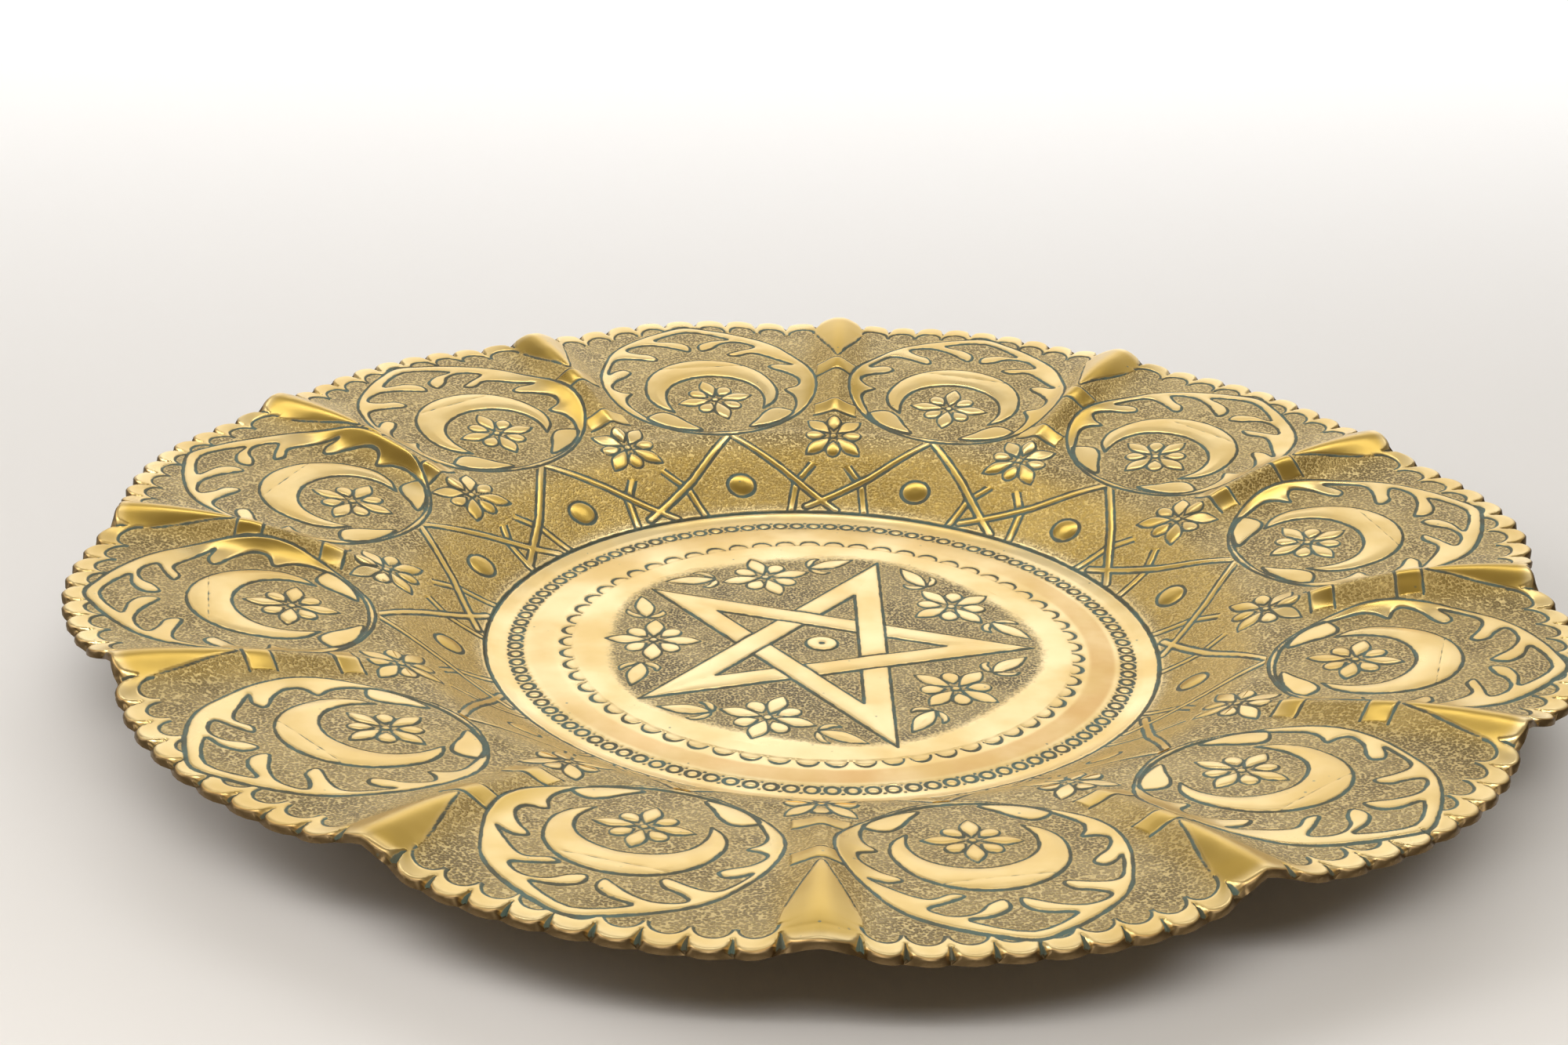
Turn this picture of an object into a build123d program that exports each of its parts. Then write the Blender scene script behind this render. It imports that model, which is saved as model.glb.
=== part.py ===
"""Hand-raised brass tray with twelve dished lobes, built as one sheet of brass.

The tray is a single sheet: a flat floor, a sloping wall, and a wide border beaten into twelve
shallow dishes that meet in twelve hollow-backed ridges. The border's edge is filed into scallops.
Units are millimetres, +Z is up, and the origin is the centre of the floor's underside, on the
surface that the tray stands on. Angles are degrees clockwise from +Y, seen from above.
"""
from build123d import *

import os
from math import atan2, cos, degrees, hypot, radians, sin

# the sheet
SHEET = 1.8                # thickness, measured upright
FLOOR_RADIUS = 75.0        # flat part of the floor
LIP_RADIUS = 102.5         # where the wall turns out into the border
LIP_HEIGHT = 13.8          # underside of the sheet at the lip
WALL_CURVE = ((79.0, 1.3), (88.0, 6.3), (97.0, 11.6))     # underside of the wall: radius, height
LAP_RADIUS = 104.0         # the wall runs on to here, inside the border's thickness
LAP_TOP = LIP_HEIGHT + 1.5                                 # height of the lap's upper face
LAP_BOTTOM = (LIP_HEIGHT + 0.6, LIP_HEIGHT + 1.0)          # and of its lower face, at lip and end

# the border: underside heights down the middle of a dish, and along a ridge's crest
DISH_END_RADIUS = 171.0
DISH_RISE = 9.6            # from the lip to the edge, down the middle of a dish
DISH_MIDDLE_POWER = 1.4    # how early it rises
CREST_END_RADIUS = 165.0
CREST_RISE = 13.4          # from the lip to the crest's end
DISH_POWER = 8.0           # how late a dish turns up towards its ridges
CREST_ROUNDING = (1.0, 4.8)                                # at the ridge's foot and at its end
ROUNDING_STATIONS = (110.0, 165.0)
STATIONS = (101.4, 106.0, 113.0, 123.0, 136.0, 151.0, 165.0, 192.0)    # radii of sections at a ridge
FRONT_SAG = 2.4            # the front of the border was left this much lower at its edge
SAG_ANGLE = 178.0
SAG_POWER = 8

# the twelve ridges and lobes were set out by eye, so each has its own place and reach
RIDGE_ANGLES = (1.5, 30.3, 60.0, 91.0, 120.3, 151.2, 180.4, 210.3, 243.3, 272.2, 300.3, 329.6)
RIDGE_REACH = (164.0, 166.5, 166.5, 161.5, 164.0, 164.5, 170.5, 166.5, 164.3, 165.0, 166.5, 162.5)
CREST_POWERS = (2.0, 2.1, 2.4, 2.5, 1.7, 1.6, 1.5, 1.5, 1.5, 2.2, 2.1, 2.2)   # how early each rises
LOBE_REACH = (172.0, 172.0, 172.0, 171.0, 169.5, 171.0, 171.5, 169.5, 171.0, 172.5, 172.0, 172.0)

# the filed edge
SCALLOPS = 9               # scallops between one ridge and the next
SCALLOP_DEPTH = 1.8        # how far a notch is filed in
TONGUE_HALF_ANGLE = 2.4    # half the width of a ridge's end, about the centre

LOBE_COUNT = len(RIDGE_ANGLES)
HALF_STEPS = (0.0, 0.4, 0.68, 0.82, 0.9, 0.95, 0.98, 1.0)  # shares of a section's half width
SECTION_STEPS = [-step for step in reversed(HALF_STEPS[1:])] + list(HALF_STEPS)


def dish_height(distance):
    """Underside height down the middle of a dish, which rises from the lip and levels outwards."""
    share = min((distance - LIP_RADIUS) / (DISH_END_RADIUS - LIP_RADIUS), 1)
    return LIP_HEIGHT + DISH_RISE * (1 - (1 - share) ** DISH_MIDDLE_POWER)


def crest_height(radius, power):
    """Underside height along a ridge's crest, which rises fast at its foot and levels at its end."""
    share = (radius - LIP_RADIUS) / (CREST_END_RADIUS - LIP_RADIUS)
    return LIP_HEIGHT + CREST_RISE * (1 - (1 - min(max(share, 0), 1)) ** power)


def crest_rounding(radius):
    """Rounding of a ridge's crest, which broadens into the tongue at its end."""
    start, end = ROUNDING_STATIONS
    share = min(max((radius - start) / (end - start), 0), 1)
    return CREST_ROUNDING[0] + (CREST_ROUNDING[1] - CREST_ROUNDING[0]) * share


def front_sag(radius, angle):
    """How much lower the front of the border hangs."""
    share = (radius - LIP_RADIUS) / (CREST_END_RADIUS - LIP_RADIUS)
    return FRONT_SAG * share * max(cos(radians(angle - SAG_ANGLE)), 0) ** SAG_POWER


def underside_height(station, half_angle, middle, offset, powers):
    """Underside height of a dish in the section that meets its ridges at the radius station.

    The offset runs across the section, in millimetres, clockwise from the dish's middle. The
    powers are those of the two ridges' crests.
    """
    power = powers[1] if offset > 0 else powers[0]
    distance = station * cos(radians(half_angle))
    half_width = station * sin(radians(half_angle))
    bottom = dish_height(distance)
    rounding = crest_rounding(station)
    from_ridge = hypot(half_width - abs(offset), rounding) - rounding
    share = max(1 - from_ridge / half_width, 0)
    height = bottom + (crest_height(station, power) - bottom) * share ** DISH_POWER
    radius = hypot(distance, offset)
    return height - front_sag(radius, middle + degrees(atan2(offset, distance)))


def on_plan(radius, angle):
    """Point on the plan at a radius and a clockwise angle."""
    return (radius * sin(radians(angle)), radius * cos(radians(angle)))


def ridge_span(lobe):
    """Angles of the two ridges beside a lobe."""
    first = RIDGE_ANGLES[lobe]
    second = RIDGE_ANGLES[(lobe + 1) % LOBE_COUNT]
    return first, second if second > first else second + 360


def edge_radius(lobe, share):
    """Radius of the scallops' crowns, where share runs from 0 to 1 between two ridges."""
    near = RIDGE_REACH[lobe]
    far = RIDGE_REACH[(lobe + 1) % LOBE_COUNT]
    between = near + (far - near) * share
    return between + (LOBE_REACH[lobe] - between) * sin(radians(180 * share))


def edge_point(lobe, angle, depth):
    """Point on the plan that lies a depth inside the line of the scallops' crowns."""
    first_ridge, second_ridge = ridge_span(lobe)
    share = (angle - first_ridge) / (second_ridge - first_ridge)
    return on_plan(edge_radius(lobe, share) - depth, angle)


# the floor and the wall, turned about the centre
with BuildPart() as well:
    with BuildSketch(Plane.XZ) as well_profile:
        with BuildLine():
            bare_wall = [(FLOOR_RADIUS, 0.0), *WALL_CURVE]
            wall = [*bare_wall, (LIP_RADIUS, LAP_BOTTOM[0]), (LAP_RADIUS, LAP_BOTTOM[1])]
            upper_wall = [(radius, height + SHEET) for radius, height in bare_wall]
            upper_wall += [(LIP_RADIUS, LAP_TOP), (LAP_RADIUS, LAP_TOP)]
            Line((0, 0), wall[0])
            Spline(*wall)
            Line(wall[-1], upper_wall[-1])
            Spline(*upper_wall)
            Line(upper_wall[0], (0, SHEET))
            Line((0, SHEET), (0, 0))
        make_face()
    revolve(axis=Axis.Z)

# the border's twelve dishes, each lofted outwards along its lobe through upright sections; a
# section's own x runs clockwise and its own y runs down, so heights in it are negative
with BuildPart() as border:
    for lobe in range(LOBE_COUNT):
        first_ridge, second_ridge = ridge_span(lobe)
        middle = (first_ridge + second_ridge) / 2
        half_angle = (second_ridge - first_ridge) / 2
        powers = (CREST_POWERS[lobe], CREST_POWERS[(lobe + 1) % LOBE_COUNT])
        outwards = (sin(radians(middle)), cos(radians(middle)), 0)
        across = (outwards[1], -outwards[0], 0)
        for station in STATIONS:
            distance = station * cos(radians(half_angle))
            half_width = station * sin(radians(half_angle))
            under = []
            for step in SECTION_STEPS:
                offset = half_width * step
                height = underside_height(station, half_angle, middle, offset, powers)
                under.append((offset, -height))
            over = [(offset, height - SHEET) for offset, height in under]
            origin = (outwards[0] * distance, outwards[1] * distance, 0)
            with BuildSketch(Plane(origin=origin, x_dir=across, z_dir=outwards)) as section:
                with BuildLine():
                    Spline(*under)
                    Line(under[-1], over[-1])
                    Spline(*over)
                    Line(over[0], under[0])
                make_face()
        loft(ruled=True)
    # the border stops at the lip, where the wall takes over
    Cylinder(LIP_RADIUS, 100, mode=Mode.SUBTRACT)

# the outline of the filed edge: scallops along each lobe, and a rounded tongue at each ridge
with BuildPart() as blank:
    with BuildSketch() as outline:
        with BuildLine():
            for lobe in range(LOBE_COUNT):
                first_ridge, second_ridge = ridge_span(lobe)
                first_notch = first_ridge + TONGUE_HALF_ANGLE
                last_notch = second_ridge - TONGUE_HALF_ANGLE
                pitch = (last_notch - first_notch) / SCALLOPS
                before = (lobe - 1) % LOBE_COUNT
                ThreePointArc(
                    edge_point(before, ridge_span(before)[1] - TONGUE_HALF_ANGLE, SCALLOP_DEPTH),
                    edge_point(lobe, first_ridge, 0),
                    edge_point(lobe, first_notch, SCALLOP_DEPTH),
                )
                for scallop in range(SCALLOPS):
                    notch = first_notch + scallop * pitch
                    ThreePointArc(
                        edge_point(lobe, notch, SCALLOP_DEPTH),
                        edge_point(lobe, notch + pitch / 2, 0),
                        edge_point(lobe, notch + pitch, SCALLOP_DEPTH),
                    )
        make_face()
    extrude(amount=60)

# the finished sheet: well and border in one, trimmed to the filed edge
with BuildPart() as tray_sheet:
    add(border.part)
    add(well.part)
    add(blank.part, mode=Mode.INTERSECT)

tray_sheet.part.label = "tray_sheet"

os.makedirs("parts", exist_ok=True)
export_step(tray_sheet.part, "parts/tray_sheet.step")
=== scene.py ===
"""Chased brass tray with twelve lobes: the raised sheet with all its chased and matted work.

The tray is one sheet of brass. It is modelled here as patches of that sheet which meet edge to
edge: the medallion's middle, the medallion's rim, the wall, and one patch for each lobe.
Plan sizes below are in millimetres from the tray's centre, as a chaser would set them out, and
angles are degrees clockwise from +Y. Meshes are made in metres.
"""

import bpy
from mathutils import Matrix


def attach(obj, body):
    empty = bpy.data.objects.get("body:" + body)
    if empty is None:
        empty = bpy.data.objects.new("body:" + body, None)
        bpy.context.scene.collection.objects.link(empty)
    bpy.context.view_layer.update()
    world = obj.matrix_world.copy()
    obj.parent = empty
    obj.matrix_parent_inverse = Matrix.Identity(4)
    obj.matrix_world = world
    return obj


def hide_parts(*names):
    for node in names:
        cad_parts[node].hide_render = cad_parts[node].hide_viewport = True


bl_info = {
    "name": "Chased brass tray",
    "version": (1, 0, 0),
    "blender": (4, 5, 0),
    "location": "3D View > Sidebar > Tray",
    "description": "Builds a raised brass tray with chased and matted ornament",
    "category": "Object",
}

from math import atan2, cos, degrees, pi, radians, sin, tau

import bpy
import numpy as np
from bpy.props import FloatProperty, FloatVectorProperty, IntProperty, PointerProperty
from mathutils import Matrix, Vector

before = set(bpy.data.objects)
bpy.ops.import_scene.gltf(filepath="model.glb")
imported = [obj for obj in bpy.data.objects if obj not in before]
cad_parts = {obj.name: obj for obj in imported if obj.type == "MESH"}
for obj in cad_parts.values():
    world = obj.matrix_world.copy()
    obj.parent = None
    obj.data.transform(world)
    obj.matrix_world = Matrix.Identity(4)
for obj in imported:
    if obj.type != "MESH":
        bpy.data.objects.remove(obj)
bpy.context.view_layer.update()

MM = 0.001
FAR = 9.0                       # a distance that stands for "nowhere near"

# ---------------------------------------------------------------- the raised sheet, undersides
LIP_RADIUS = 102.5
LIP_HEIGHT = 13.8
WALL_CURVE = ((70.0, 0.0), (75.0, 0.0), (79.0, 1.3), (84.0, 3.9), (90.0, 7.5), (97.0, 11.5),
              (102.5, 13.8), (106.0, 14.6))
CREST_END_RADIUS = 165.0
CREST_RISE = 13.4
DISH_END_RADIUS = 171.0
DISH_RISE = 9.6
DISH_MIDDLE_POWER = 1.4
DISH_POWER = 8.0
CREST_ROUNDING = (1.0, 4.8)
ROUNDING_STATIONS = (110.0, 165.0)
FRONT_SAG = 2.4
SAG_ANGLE = 178.0
SAG_POWER = 8

RIDGE_ANGLES = (1.5, 30.3, 60.0, 91.0, 120.3, 151.2, 180.4, 210.3, 243.3, 272.2, 300.3, 329.6)
RIDGE_REACH = (164.0, 166.5, 166.5, 161.5, 164.0, 164.5, 170.5, 166.5, 164.3, 165.0, 166.5, 162.5)
CREST_POWERS = (2.0, 2.1, 2.4, 2.5, 1.7, 1.6, 1.5, 1.5, 1.5, 2.2, 2.1, 2.2)
LOBE_REACH = (172.0, 172.0, 172.0, 171.0, 169.5, 171.0, 171.5, 169.5, 171.0, 172.5, 172.0, 172.0)
LOBE_COUNT = len(RIDGE_ANGLES)
SCALLOPS = 9
SCALLOP_DEPTH = 1.8
TONGUE_HALF_ANGLE = 2.4
NOTCH_DEPTH = 2.7               # how far a notch is filed in at the top
NOTCH_POWER = 2.2               # how pointed a notch is
NOTCH_FADE = 14                 # how close to the edge the notches begin
UNDER_NOTCH = 0.6               # a notch's depth at the bottom, as a share of the scallop's
HALF_SCALLOP = 4.1              # half a scallop's length
FILED_BAND = 3.0                # how far in from the edge the file marks reach

# the widths of the faces that a patch is divided by
LOBE_SPAN = (80.0, 70.0)        # about a lobe's width, and its depth from lip to edge
RIM_MIDDLE = 72.0               # radii where the faces of the two rings are about square
WALL_MIDDLE = 84.0

# each lobe's ornament as set out: its axis, how far out its crescent sits, its flower's turn
LOBE_AXES = (16.3, 45.5, 75.4, 106.8, 136.9, 167.0, 196.0, 226.9, 257.8, 287.5, 315.1, 345.8)
LEAF_WIDTHS = (1.0, 1.0, 1.0, 1.0, 0.98, 0.93, 0.95, 0.98, 1.0, 1.0, 1.0, 1.0)
CRESCENT_SHIFTS = (0.0, 0.3, -0.3, 0.0, 0.4, 2.0, 3.2, 0.3, 0.0, -0.3, 0.2, 0.0)
FLOWER_TURNS = (4.0, -8.0, 10.0, -5.0, 9.0, -12.0, 6.0, 14.0, -7.0, 3.0, -10.0, 8.0)

# ---------------------------------------------------------------- outlines of a lobe's ornament
LEAF_HALF = ((0, 103.3), (6, 104), (9.5, 105), (15, 107.5), (21.5, 112), (26, 117), (28.5, 122),
             (29.7, 128), (29.3, 135), (28, 140), (26.2, 145), (24, 150), (20, 155), (13.5, 160),
             (7, 163.6), (0, 166.2))
FIELD_LEFT = ((-6, 105.2), (-12, 107), (-18, 110.5), (-23, 117.5), (-24.5, 121), (-24, 124),
              (-22.3, 126.7), (-25, 127.2), (-27, 128.6), (-26.8, 131), (-25, 134), (-22, 136.5),
              (-20.4, 138.8), (-22, 140.5), (-24.4, 139.6), (-26.8, 137.4), (-25.5, 142),
              (-23.5, 146), (-21, 147.2), (-17, 146.6), (-12.7, 145.3), (-11.5, 146.5),
              (-13, 149), (-16, 150), (-19, 152), (-17.5, 154), (-13, 155.3), (-8, 154),
              (-4, 151.5), (-1.7, 150.2), (-0.9, 152), (-1.6, 154.5), (-4.6, 156.6), (-10, 158.2))
FIELD_RIGHT = ((11, 157.0), (6.0, 156.2), (2.4, 154.3), (1.5, 152), (2.4, 150.2), (5.5, 151.5),
               (8, 154), (11.5, 155), (15, 154), (17.5, 151), (13, 149.3), (9, 147.4),
               (11.5, 146.0), (15.5, 147.4), (18.5, 146), (22, 142.5), (25.8, 138.2),
               (22, 139.7), (19.2, 139), (19.7, 137.3), (22.5, 134.8), (25, 131), (25.3, 128),
               (24, 126), (20.5, 125), (22, 121), (21.5, 116), (18, 110.5), (12, 107), (6, 105.2))
FIELD = ((0, 104.8), *FIELD_LEFT, (0.3, 163.0), *FIELD_RIGHT)
CRESCENT = ((12.3, 116), (16.3, 119.5), (18.2, 126), (15.9, 135.3), (9.3, 142), (0, 144.5),
            (-9.3, 142), (-15.9, 135.3), (-18.2, 126), (-16.3, 119.5), (-12.3, 116),
            (-13.3, 122), (-11.8, 128.3), (-7, 132.8), (0.3, 134.7), (7.4, 132.8),
            (12.2, 128.3), (13.8, 122))
HALF_LEAF = ((6.5, 107), (9.5, 110.5), (12, 113.7), (15, 115.7), (18, 115), (20, 112.5),
             (15.5, 109), (10.5, 107.2))
PETAL = ((1.3, 0), (3.6, 1.25), (6.3, 2.1), (8.6, 1.45), (10.6, 0))
ROUND_PETAL = ((2.2, 0), (3.9, 1.5), (5.8, 2.0), (7.3, 1.2), (7.8, 0))
FLOWER_REACH = 14.0             # beyond this no petal reaches
FLOWER_EYE = 1.0                # radius of the dot in its middle
PETAL_LINE = 0.32               # half widths of chased lines: round petals, and round larger shapes
SHAPE_LINE = 0.42
FLOWER_HEIGHT = 121.7           # the lobe flower's centre, out from the tray's centre
SCRIBE_HEIGHT = 139.7           # the thin layout line across each crescent

TONGUE = ((0, 138.0), (2.2, 143.5), (4.6, 150), (6.6, 156.5), (7.4, 161.5), (6.0, 164.2),
          (0, 165.2))
BANDS = ((112.0, 117.3), (131.0, 137.0))
BAND_HALF = 5.5                 # half a band's length across the ridge
RIM_ARC_RADIUS = 3.5            # the small arcs along the edge
RIM_ARC_INSET = 8.4

# the wall's lattice, out from the centre along a lobe's axis
LATTICE = (((0, 103.5), (-13, 88.5), (-26.5, 76.0)), ((0, 103.5), (11.5, 91), (23, 76.0)),
           ((-23.8, 94), (-20, 90.5), (-14.5, 86), (-10.5, 76.0)),
           ((23.8, 94), (20, 90.5), (14.5, 86), (10.5, 76.0)))
LATTICE_WIDTH = 1.9
BOSS_HALF = (3.7, 3.2)          # half an oval boss's width and height
BOSS_RADIUS = 87.0              # how far out the bosses sit
FOOT_CLEARING = 10.8            # round each flower at a ridge's foot the lattice stops
FOOT_TURN = 45                  # how far those flowers are turned, in degrees
FOOT_SIZE = 0.95                # and their size beside a lobe's

# ---------------------------------------------------------------- the medallion in the floor
STAR_TIPS = {"A": (14, 49), "B": (50, 2), "C": (16.5, -51), "D": (-41, -31.5), "E": (-41.5, 28.5)}
STAR_BANDS = ("AC", "CE", "EB", "BD", "DA")
OVER_UNDER = (("EB", "DA"), ("AC", "EB"), ("BD", "AC"), ("CE", "BD"), ("DA", "CE"))
BAND_WIDTH = 6.5
FLOWERS = ((-39.5, -0.5), (-12, -38.5), (30.5, -21), (31.5, 24), (-14, 38))
MEDALLION_EDGE = 56.0           # where the medallion's middle meets its rim
CHASED_CIRCLE = 78.6            # the line that closes the floor
ARC_COUNT = 60
ARC_CIRCLE = 58.6               # the circle on which the thick arcs are centred
ARC_RADIUS = 2.5
RING_COUNT = 104
RING_RADIUS = 71.6              # the circle of ring punches
RING_PUNCH = 1.5                # radius of the ring punch


# ---------------------------------------------------------------- drawing with distances
def flowing(points, closed=False, steps=4):
    """A smooth line through a few points."""
    given = np.asarray(points, float)
    count = len(given)
    share = np.arange(steps)[:, None] / steps
    line = []
    for i in range(count if closed else count - 1):
        if closed:
            p0, p1, p2, p3 = (given[(i + k) % count] for k in (-1, 0, 1, 2))
        else:
            p0, p1, p2, p3 = (given[min(max(i + k, 0), count - 1)] for k in (-1, 0, 1, 2))
        bend = (2 * p0 - 5 * p1 + 4 * p2 - p3) * share ** 2 + (3 * p1 - p0 - 3 * p2 + p3) * share ** 3
        line.append(p1 + 0.5 * ((p2 - p0) * share + bend))
    if not closed:
        line.append(given[-1:])
    return np.concatenate(line)


def mirrored(half):
    """A closed outline from its right half, given from bottom to top."""
    return list(half) + [(-x, y) for x, y in reversed(half[1:-1])]


def line_distance(x, y, path, closed=False, reach=FAR):
    """Distance of each point from a line, out to a reach."""
    path = np.asarray(path, float)
    ends = np.roll(path, -1, 0) if closed else path[1:]
    starts = path if closed else path[:-1]
    low = path.min(0) - reach
    high = path.max(0) + reach
    near = np.flatnonzero((x > low[0]) & (x < high[0]) & (y > low[1]) & (y < high[1]))
    found = np.full(len(x), FAR)
    for part in np.array_split(near, max(1, len(near) // 8000)):
        if not len(part):
            continue
        px, py = x[part, None], y[part, None]
        dx, dy = (ends - starts).T
        along = ((px - starts[:, 0]) * dx + (py - starts[:, 1]) * dy) / (dx * dx + dy * dy + 1e-12)
        along = np.clip(along, 0, 1)
        gap = np.hypot(px - starts[:, 0] - along * dx, py - starts[:, 1] - along * dy)
        found[part] = np.minimum(gap.min(1), FAR)
    return found


def area_distance(x, y, path, reach=4.0):
    """Distance inside a closed outline, and negative outside it."""
    path = np.asarray(path, float)
    distance = line_distance(x, y, path, True, reach)
    low, high = path.min(0), path.max(0)
    near = np.flatnonzero((x > low[0]) & (x < high[0]) & (y > low[1]) & (y < high[1]))
    inside = np.zeros(len(x), bool)
    start = path[-1]
    for end in path:
        if end[1] != start[1]:
            py = y[near]
            crosses = (start[1] > py) != (end[1] > py)
            side = (end[0] - start[0]) * (py - start[1]) / (end[1] - start[1]) + start[0]
            inside[near] ^= crosses & (x[near] < side)
        start = end
    return np.where(inside, distance, -distance)


def soft_step(value, low, high):
    """0 below low, 1 above high, and smooth between."""
    share = np.clip((value - low) / (high - low), 0, 1)
    return share * share * (3 - 2 * share)


class Chasing:
    """Chased work on some points of the sheet: distances to lines and into the matted ground.

    The tarnish value is 0 on bright brass. Towards -1 it is a darker gold, painted reflection of the
    dark surroundings, towards 1 it is orange-brown, and towards 2 it is the dull brown of the underside,
    which also paints shade on the edge's side face.
    """

    def __init__(self, count):
        self.line = np.full(count, FAR)
        self.ground = np.full(count, -FAR)
        self.tarnish = np.zeros(count)
        self.lift = np.zeros(count)

    def cut(self, distance, half_width=0.45):
        """Cuts a line along which the distance is nothing."""
        self.line = np.minimum(self.line, distance - half_width)


def petals(x, y, turn, outline, count, start):
    """Signed distances of a ring of petals, one row for each petal."""
    half = flowing(outline)
    path = np.concatenate([half, half[-2:0:-1] * (1, -1)])
    rows = []
    for i in range(count):
        angle = radians(turn + start + 360 * i / count)
        px = x * cos(angle) + y * sin(angle)
        py = -x * sin(angle) + y * cos(angle)
        rows.append(area_distance(px, py, path, 2.0))
    return rows


def flower(work, x, y, centre, turn=0.0, size=1.0):
    """Chases a flower of four pointed and four round petals, and returns its signed distance."""
    near = np.flatnonzero(np.hypot(x - centre[0], y - centre[1]) < FLOWER_REACH * size)
    inside = np.full(len(x), -FAR)
    if not len(near):
        return inside
    px, py = (x[near] - centre[0]) / size, (y[near] - centre[1]) / size
    rows = petals(px, py, turn, PETAL, 4, 0) + petals(px, py, turn, ROUND_PETAL, 4, 45)
    best = np.max(rows, 0)
    line = np.min([np.abs(row) for row in rows], 0)
    middle = np.hypot(px, py)
    best = np.maximum(best, FLOWER_EYE - middle)
    line = np.minimum(line, np.abs(middle - FLOWER_EYE))
    inside[near] = best * size
    cut = np.full(len(x), FAR)
    cut[near] = line * size - PETAL_LINE
    work.line = np.minimum(work.line, cut)
    return inside


# ---------------------------------------------------------------- the sheet's own form
def lobe_of(angle):
    """Which lobe each angle falls in, and the angles of its two ridges."""
    angle = np.mod(angle - RIDGE_ANGLES[0], 360) + RIDGE_ANGLES[0]
    ridges = np.array([*RIDGE_ANGLES, RIDGE_ANGLES[0] + 360])
    lobe = np.clip(np.searchsorted(ridges, angle, side="right") - 1, 0, LOBE_COUNT - 1)
    return lobe, angle, ridges[lobe], ridges[lobe + 1]


def wall_height(radius):
    """Height of the floor's and the wall's underside."""
    curve = flowing(WALL_CURVE, steps=8)
    return np.interp(radius, curve[:, 0], np.maximum(curve[:, 1], 0))


def border_height(radius, angle):
    """Height of the border's underside: dishes between crested ridges."""
    lobe, angle, first, second = lobe_of(angle)
    middle = (first + second) / 2
    half = np.radians(second - first) / 2
    turn = np.radians(angle - middle)
    distance = radius * np.cos(turn)
    offset = radius * np.sin(turn)
    station = distance / np.cos(half)
    half_width = station * np.sin(half)
    share = np.minimum((distance - LIP_RADIUS) / (DISH_END_RADIUS - LIP_RADIUS), 1)
    bottom = LIP_HEIGHT + DISH_RISE * (1 - (1 - share) ** DISH_MIDDLE_POWER)
    rise = np.clip((station - LIP_RADIUS) / (CREST_END_RADIUS - LIP_RADIUS), 0, 1)
    power = np.array(CREST_POWERS)[(lobe + (offset > 0)) % LOBE_COUNT]
    crest = LIP_HEIGHT + CREST_RISE * (1 - (1 - rise) ** power)
    start, end = ROUNDING_STATIONS
    rounding = CREST_ROUNDING[0] + (CREST_ROUNDING[1] - CREST_ROUNDING[0]) * np.clip(
        (station - start) / (end - start), 0, 1)
    from_ridge = np.hypot(half_width - np.abs(offset), rounding) - rounding
    height = bottom + (crest - bottom) * np.maximum(1 - from_ridge / half_width, 0) ** DISH_POWER
    sag = FRONT_SAG * (radius - LIP_RADIUS) / (CREST_END_RADIUS - LIP_RADIUS)
    return height - sag * np.maximum(np.cos(np.radians(angle - SAG_ANGLE)), 0) ** SAG_POWER


def sheet_height(radius, angle):
    """Height of the sheet's underside anywhere."""
    blend = soft_step(radius, LIP_RADIUS, LIP_RADIUS + 4.5)
    inner = wall_height(np.minimum(radius, 106.0))
    outer = border_height(np.maximum(radius, LIP_RADIUS), angle)
    return np.where(radius <= LIP_RADIUS, inner, inner + (outer - inner) * blend)


def crown_radius(angle):
    """Radius of the scallops' crowns, and how near each angle is to a notch (1 is at the notch)."""
    lobe, angle, first, second = lobe_of(angle)
    share = (angle - first) / (second - first)
    near = np.array(RIDGE_REACH)[lobe]
    far = np.array(RIDGE_REACH)[(lobe + 1) % LOBE_COUNT]
    between = near + (far - near) * share
    crown = between + (np.array(LOBE_REACH)[lobe] - between) * np.sin(pi * share)
    pitch = (second - first - 2 * TONGUE_HALF_ANGLE) / SCALLOPS
    step = (angle - first - TONGUE_HALF_ANGLE) / pitch
    notch = np.abs(2 * (step - np.floor(step)) - 1)
    from_ridge = np.minimum(angle - first, second - angle)
    notch = np.where(from_ridge < TONGUE_HALF_ANGLE, from_ridge / TONGUE_HALF_ANGLE, notch)
    return crown, notch


# ---------------------------------------------------------------- ornament by zone
def chase_lobe(work, x, y, lobe):
    """The leaf-shaped frame with its lugs, the crescent, the half leaves and the flower."""
    # the frame's line is a little thicker at its tip
    tip = 1 + 0.3 * soft_step(y, 148, 160) * soft_step(x, -14, 4)
    x = x / LEAF_WIDTHS[lobe]
    leaf = area_distance(x, y, flowing(mirrored(LEAF_HALF), True), 2.5)
    work.cut(np.abs(leaf), SHAPE_LINE * tip)
    field = area_distance(x, y, flowing(FIELD, True), 2.0)
    work.cut(np.abs(field), SHAPE_LINE)
    rise = CRESCENT_SHIFTS[lobe]
    low = y - rise
    crescent_path = np.concatenate([flowing(CRESCENT[:11]), flowing((*CRESCENT[10:], CRESCENT[0]))])
    crescent = area_distance(x, low, crescent_path)
    work.cut(np.abs(crescent), SHAPE_LINE)
    scribe = np.where(crescent > 0.5, np.abs(y - SCRIBE_HEIGHT - rise), FAR)
    work.cut(scribe, 0.1)
    right = area_distance(x, y, flowing(HALF_LEAF, True))
    left = area_distance(-x * 0.98, 111 + (y - 111) * 0.9, flowing(HALF_LEAF, True))
    leaves = np.maximum(right, left)
    work.cut(np.abs(leaves), SHAPE_LINE)
    bloom = flower(work, x, low, (0, FLOWER_HEIGHT), FLOWER_TURNS[lobe] + 90)
    polished = np.maximum.reduce([crescent, leaves, bloom])
    work.ground = np.minimum(field, -polished)
    work.lift += 0.14 * soft_step(crescent, 0, 3) + 0.16 * soft_step(bloom, 0, 1.2)
    return leaf


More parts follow.
